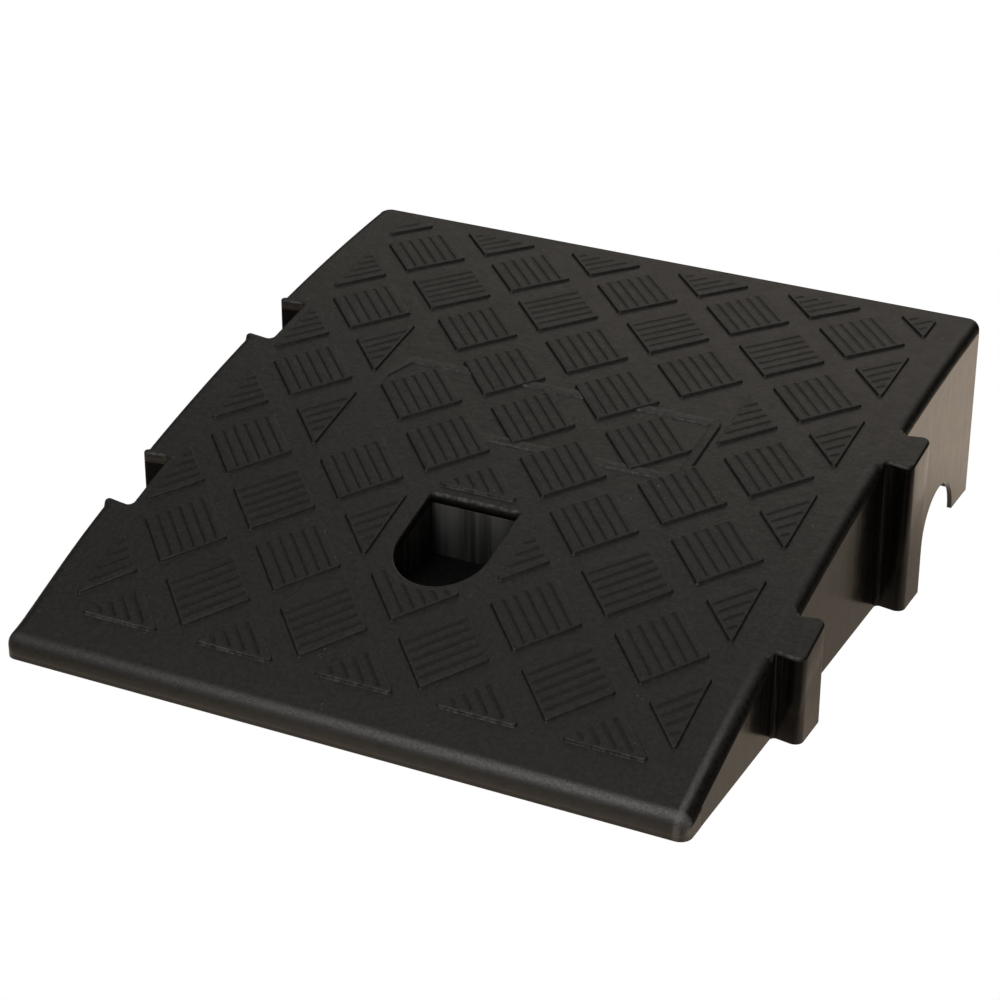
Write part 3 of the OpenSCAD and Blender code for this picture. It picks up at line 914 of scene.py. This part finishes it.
class Plastic:
    """Dark moulded plastic, mottled and with a fine grain, which takes layers by place on the part."""

    def __init__(self, name, tone, roughness, shine=PLAIN_SHINE, grain=PLAIN_GRAIN):
        self.material = bpy.data.materials.new(name)
        self.material.use_nodes = True
        self.tree = self.material.node_tree
        self.shader = self.tree.nodes["Principled BSDF"].inputs
        self.shader["Specular IOR Level"].default_value = shine
        coords = add_node(self.tree, "ShaderNodeTexCoord").outputs
        self.place = coords["Object"]
        self.axes = add_node(self.tree, "ShaderNodeSeparateXYZ", {"Vector": self.place}).outputs
        self.normal = add_node(self.tree, "ShaderNodeSeparateXYZ", {"Vector": coords["Normal"]}).outputs

        dark, pale = [tuple(share * c for c in tone) for share in (MOTTLE_DARK, MOTTLE_PALE)]
        self.colour = blend(self.tree, self.patches(MOTTLE), dark, pale)
        self.link(self.colour, "Base Color")
        rough = self.patches(GLOSS, roughness - GLOSS_CHANGE, roughness + GLOSS_CHANGE)
        self.link(rough, "Roughness")
        self.bump = None
        self.emboss(noise(self.tree, self.place, GRAIN), grain, FINE_BUMP)

    def link(self, value, name):
        """Feeds a value to the shader."""
        self.tree.links.new(value, self.shader[name])

    def patches(self, pattern, to_low=0.0, to_high=1.0):
        """A pattern over the whole part."""
        return eased_noise(self.tree, self.place, pattern, to_low, to_high)

    def along(self, axis, start, reach):
        """0 to 1 along an axis, between two distances from the start."""
        return ramp(self.tree, self.axes[axis], start + reach[0], start + reach[1])

    def product(self, *values):
        """Product of several values."""
        result = values[0]
        for value in values[1:]:
            result = times(self.tree, result, value)
        return result

    def upright(self):
        """Place on the part, drawn out upwards so that noise turns into upright streaks."""
        values = {"Vector": self.place, "Scale": STREAK_STRETCH}
        return add_node(self.tree, "ShaderNodeMapping", values).outputs["Vector"]

    def cover(self, share, colour):
        """Lays a colour over the plastic."""
        self.colour = blend(self.tree, share, self.colour, colour)
        self.link(self.colour, "Base Color")

    def emboss(self, height, strength, distance):
        """Adds a bump to those that are there."""
        values = {"Height": height, "Strength": strength, "Distance": distance}
        if self.bump is not None:
            values["Normal"] = self.bump
        self.bump = add_node(self.tree, "ShaderNodeBump", values).outputs["Normal"]
        self.link(self.bump, "Normal")

    def dull(self, value, reach, shine):
        """Takes the shine down where a value goes over the reach."""
        level = ramp(self.tree, value, *reach, PLAIN_SHINE, shine)
        self.link(level, "Specular IOR Level")

    def add_specks(self):
        """Pale specks in patches, on a surface that waves a little."""
        self.cover(self.product(self.patches(SPECKS), self.patches(SPECK_PATCHES)), SPECK_COLOUR)
        self.emboss(noise(self.tree, self.place, WAVES), WAVE_STRENGTH, WAVE_BUMP)

    def add_streaks(self, strength):
        """Upright streaks that are paler and stand out a little."""
        streak = eased_noise(self.tree, self.upright(), STREAKS, 0.0, strength)
        self.cover(streak, STREAK_COLOUR)
        self.emboss(streak, STREAK_BUMP_STRENGTH, FINE_BUMP)

    def add_wear_and_painted_light(self):
        """Dust and painted light on the front face, and scuffs with painted highlights along the front lip
        and the crest of the right side.
        """
        # Pale dust on the front face, also standing as painted light, brighter from the left to the middle
        face = self.along("Y", y_front, FRONT_DUST_AND_LIGHT_REACH)
        sides = ramp(self.tree, self.axes["X"], x_left, x_middle, *FRONT_DUST_AND_LIGHT_LEVELS)
        self.cover(self.product(face, sides, self.patches(FRONT_DUST_AND_LIGHT, FRONT_DUST_AND_LIGHT_LEAST)), FRONT_DUST_AND_LIGHT_COLOUR)

        # Pale scuffs that are also painted highlights along the lip, growing to the right, and along the
        # crest of the right side
        scuff_and_highlight = self.patches(SCUFFS_AND_HIGHLIGHTS, SCUFF_AND_HIGHLIGHT_LEAST)
        lip = self.product(self.along("Y", y_front, LIP_START), self.along("Y", y_front, LIP_END))
        sides = ramp(self.tree, self.axes["X"], x_left, x_right, *LIP_LEVELS)
        self.cover(self.product(lip, sides, scuff_and_highlight), SCUFF_AND_HIGHLIGHT_COLOUR)

        crest = self.product(self.along("X", x_right, CREST_INNER), self.along("X", x_right, CREST_OUTER))
        rear = ramp(self.tree, self.axes["Y"], y_front, y_front + CREST_LENGTH, *CREST_LEVELS)
        self.cover(self.product(crest, rear, scuff_and_highlight), SCUFF_AND_HIGHLIGHT_COLOUR)

    def add_rubs_and_highlights(self):
        """Pale rubbed edges where the surface leans forwards, which also paint highlights on them."""
        rubbed_and_lit = self.product(self.patches(RUBS_AND_HIGHLIGHTS, 0.0, RUB_AND_HIGHLIGHT_LEVEL), self.along("Y", y_front, RUB_AND_HIGHLIGHT_START))
        forwards = ramp(self.tree, self.normal["Y"], *RUB_AND_HIGHLIGHT_FORWARDS)
        upwards = ramp(self.tree, self.normal["Z"], *RUB_AND_HIGHLIGHT_UPWARDS)
        sideways = ramp(self.tree, self.product(self.normal["X"], self.normal["X"]), *RUB_AND_HIGHLIGHT_SIDEWAYS)
        self.cover(self.product(forwards, upwards, sideways, rubbed_and_lit), SCUFF_AND_HIGHLIGHT_COLOUR)

    def add_well_back_light(self):
        """Pale streaks of painted light on the well's back, less towards its floor as painted shade."""
        backs = ramp(self.tree, self.normal["Y"], *WELL_BACK_LIGHT_FORWARDS)
        lit_upwards = ramp(self.tree, self.axes["Z"], well_high.z, deck_z(well_back), *WELL_BACK_LIGHT_LEVELS)
        streaky = eased_noise(self.tree, self.upright(), WELL_BACK_LIGHT, WELL_BACK_LIGHT_LEAST)
        self.cover(self.product(backs, lit_upwards, streaky), WELL_BACK_LIGHT_COLOUR)

    def dull_right_side(self):
        """Less shine where the surface turns to the right."""
        self.dull(self.normal["X"], DULL_RIGHT, DULL_RIGHT_SHINE)

    def dull_lug_flanks(self):
        """Less shine on the front flanks of the lugs."""
        forwards = ramp(self.tree, self.normal["Y"], *DULL_FLANK)
        flanks = self.product(forwards, self.along("X", x_right, DULL_FLANK_START))
        self.dull(flanks, (0.0, 1.0), DULL_FLANK_SHINE)


deck_plastic = Plastic("deck_plastic", DECK_TONE, roughness=0.48)
deck_plastic.add_specks()
deck_plastic.add_wear_and_painted_light()
deck_plastic.add_rubs_and_highlights()
deck_plastic.dull_right_side()

wall_plastic = Plastic("wall_plastic", WALL_TONE, roughness=0.21, grain=WALL_GRAIN)
wall_plastic.add_streaks(strength=0.25)
wall_plastic.add_wear_and_painted_light()
wall_plastic.dull_lug_flanks()

tread_plastic = Plastic("tread_plastic", DECK_TONE, roughness=0.5)
tread_plastic.add_specks()
tread_plastic.add_rubs_and_highlights()

# Pale plastic of the bead: a painted highlight on its top
bead_highlight_plastic = Plastic("bead_highlight_plastic", BEAD_HIGHLIGHT_TONE, roughness=0.5)
bead_highlight_plastic.add_specks()
bead_highlight_plastic.add_rubs_and_highlights()

inner_plastic = Plastic("inner_plastic", DECK_TONE, roughness=0.5)
inner_plastic.add_streaks(strength=0.2)

well_plastic = Plastic("well_plastic", WALL_TONE, roughness=0.45)
well_plastic.add_streaks(strength=0.5)
well_plastic.add_well_back_light()

# Duller copy of the wall plastic for the well's floor and the sockets: painted shade in those recesses
shade_plastic = Plastic("shade_plastic", WALL_TONE, roughness=0.6, shine=0.15)
# Darker, duller plastic of the grooves: painted shade in their hollows
groove_shade_plastic = Plastic("groove_shade_plastic", GROOVE_SHADE_TONE, roughness=0.52, shine=0.36)


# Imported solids

def node_plastic(name):
    """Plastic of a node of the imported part."""
    if "rib" in name or name == "drain_wall":
        return inner_plastic
    # The well's floor and the sockets take the duller plastic as painted shade
    if name == "well_floor" or "socket" in name:
        return shade_plastic
    if "well" in name:
        return well_plastic
    return wall_plastic


def soften(node):
    """Small bevels on a node's edges."""
    weld = node.modifiers.new("weld", "WELD")
    weld.merge_threshold = NODE_WELD
    flat = node.modifiers.new("flat_faces", "DECIMATE")
    flat.decimate_type = "DISSOLVE"
    flat.angle_limit = math.radians(FLAT_ANGLE)
    bevel = node.modifiers.new("soft_edges", "BEVEL")
    bevel.width = EDGE_BEVEL
    bevel.segments = EDGE_BEVEL_STEPS
    bevel.limit_method = "ANGLE"
    bevel.angle_limit = math.radians(EDGE_ANGLE)
    even = node.modifiers.new("even_shading", "WEIGHTED_NORMAL")
    even.keep_sharp = True


build_shell(deck_plastic.material, wall_plastic.material)
build_tread(tread_plastic.material, groove_shade_plastic.material)
build_panel_bead(bead_highlight_plastic.material, tread_plastic.material)
for name, node in nodes.items():
    node.data.materials.clear()
    node.data.materials.append(node_plastic(name).material)
    soften(node)


# Floor, light and camera

def floor_paint():
    """White to the camera, with painted shade under the anchor hole; to the part a warm glow, mostly from
    rear right.
    """
    paint = bpy.data.materials.new("floor_paint")
    paint.use_nodes = True
    tree = paint.node_tree
    tree.nodes.remove(tree.nodes["Principled BSDF"])
    place = add_node(tree, "ShaderNodeTexCoord").outputs["Object"]
    axes = add_node(tree, "ShaderNodeSeparateXYZ", {"Vector": place}).outputs

    hole = {0: place, 1: (well_centre.x, well_centre.y, 0)}
    from_hole = add_node(tree, "ShaderNodeVectorMath", hole, operation="DISTANCE").outputs["Value"]
    shade = ramp(tree, from_hole, well_radius, HOLE_SHADE * well_radius)
    white = add_node(tree, "ShaderNodeEmission", {"Color": FLOOR_COLOUR, "Strength": shade})

    rear = ramp(tree, axes["Y"], *GLOW_REAR, *GLOW_REAR_LEVELS)
    right = ramp(tree, axes["X"], *GLOW_RIGHT)
    near = ramp(tree, axes["X"], *GLOW_NEAR, *GLOW_NEAR_LEVELS)
    front = ramp(tree, axes["Y"], *GLOW_FRONT, *GLOW_FRONT_LEVELS)
    side = add_node(tree, "ShaderNodeMix", {"Factor": right, MIX_FIRST: 1.0, MIX_SECOND: rear}).outputs[0]
    level = times(tree, front, times(tree, near, side))
    glow = add_node(tree, "ShaderNodeEmission", {"Color": GLOW_COLOUR, "Strength": level})

    seen = add_node(tree, "ShaderNodeLightPath").outputs["Is Camera Ray"]
    mix = add_node(tree, "ShaderNodeMixShader", {0: seen, 1: glow.outputs[0], 2: white.outputs[0]})
    tree.links.new(mix.outputs[0], tree.nodes["Material Output"].inputs["Surface"])
    return paint


def build_floor():
    """The floor that the part stands on."""
    mesh = bmesh.new()
    bmesh.ops.create_grid(mesh, x_segments=1, y_segments=1, size=FLOOR_SIZE)
    data = bpy.data.meshes.new("floor")
    mesh.to_mesh(data)
    mesh.free()
    data.materials.append(floor_paint())
    floor = bpy.data.objects.new("floor", data)
    bpy.context.scene.collection.objects.link(floor)


def build_sky():
    """A dim sky that fills the shadows."""
    world = bpy.data.worlds.new("studio")
    bpy.context.scene.world = world
    world.use_nodes = True
    tree = world.node_tree
    sky = tree.nodes["Background"].inputs
    sky["Color"].default_value = SKY_COLOUR
    place = add_node(tree, "ShaderNodeTexCoord").outputs["Generated"]
    axes = add_node(tree, "ShaderNodeSeparateXYZ", {"Vector": place}).outputs
    up = ramp(tree, axes["Z"], *SKY_RISE, *SKY_RISE_LEVELS)
    left = ramp(tree, axes["X"], *SKY_LEFT, *SKY_LEFT_LEVELS)
    turn = add_node(tree, "ShaderNodeVectorMath", {0: place, 1: SKY_RIGHT_WAY}, operation="DOT_PRODUCT")
    right = ramp(tree, turn.outputs["Value"], *SKY_RIGHT, *SKY_RIGHT_LEVELS)
    tree.links.new(times(tree, up, times(tree, left, right)), sky["Strength"])


def area_light(name, place, size, power, colour):
    """A soft rectangular light that points at the part."""
    data = bpy.data.lights.new(name, "AREA")
    data.shape = "RECTANGLE"
    data.size, data.size_y = size
    data.energy = power
    data.color = colour
    light = bpy.data.objects.new(name, data)
    light.location = place
    light.rotation_mode = "QUATERNION"
    light.rotation_quaternion = (Vector(LIGHT_TARGET) - Vector(place)).to_track_quat("-Z", "Y")
    bpy.context.scene.collection.objects.link(light)


def build_camera():
    """The camera, where the photo was taken from."""
    data = bpy.data.cameras.new("camera")
    data.sensor_width = CAMERA_SENSOR
    data.lens = CAMERA_LENS
    camera = bpy.data.objects.new("camera", data)
    camera.location = CAMERA_PLACE
    camera.rotation_euler = [math.radians(a) for a in CAMERA_TILT]
    bpy.context.scene.collection.objects.link(camera)
    bpy.context.scene.camera = camera


build_floor()
build_sky()
area_light("front_soft", place=(-0.5, -1.4, 2.1), size=(0.9, 0.9), power=14.5, colour=(1, 0.99, 0.98))
area_light("side_soft", place=(1.5, -1.0, 0.45), size=(1.2, 0.8), power=1.7, colour=(1, 0.98, 0.95))
area_light("rear_soft", place=(-0.4, 2.4, 2.0), size=(2.4, 1.8), power=12, colour=(1, 0.88, 0.76))
build_camera()
bpy.context.scene.view_settings.view_transform = "Standard"
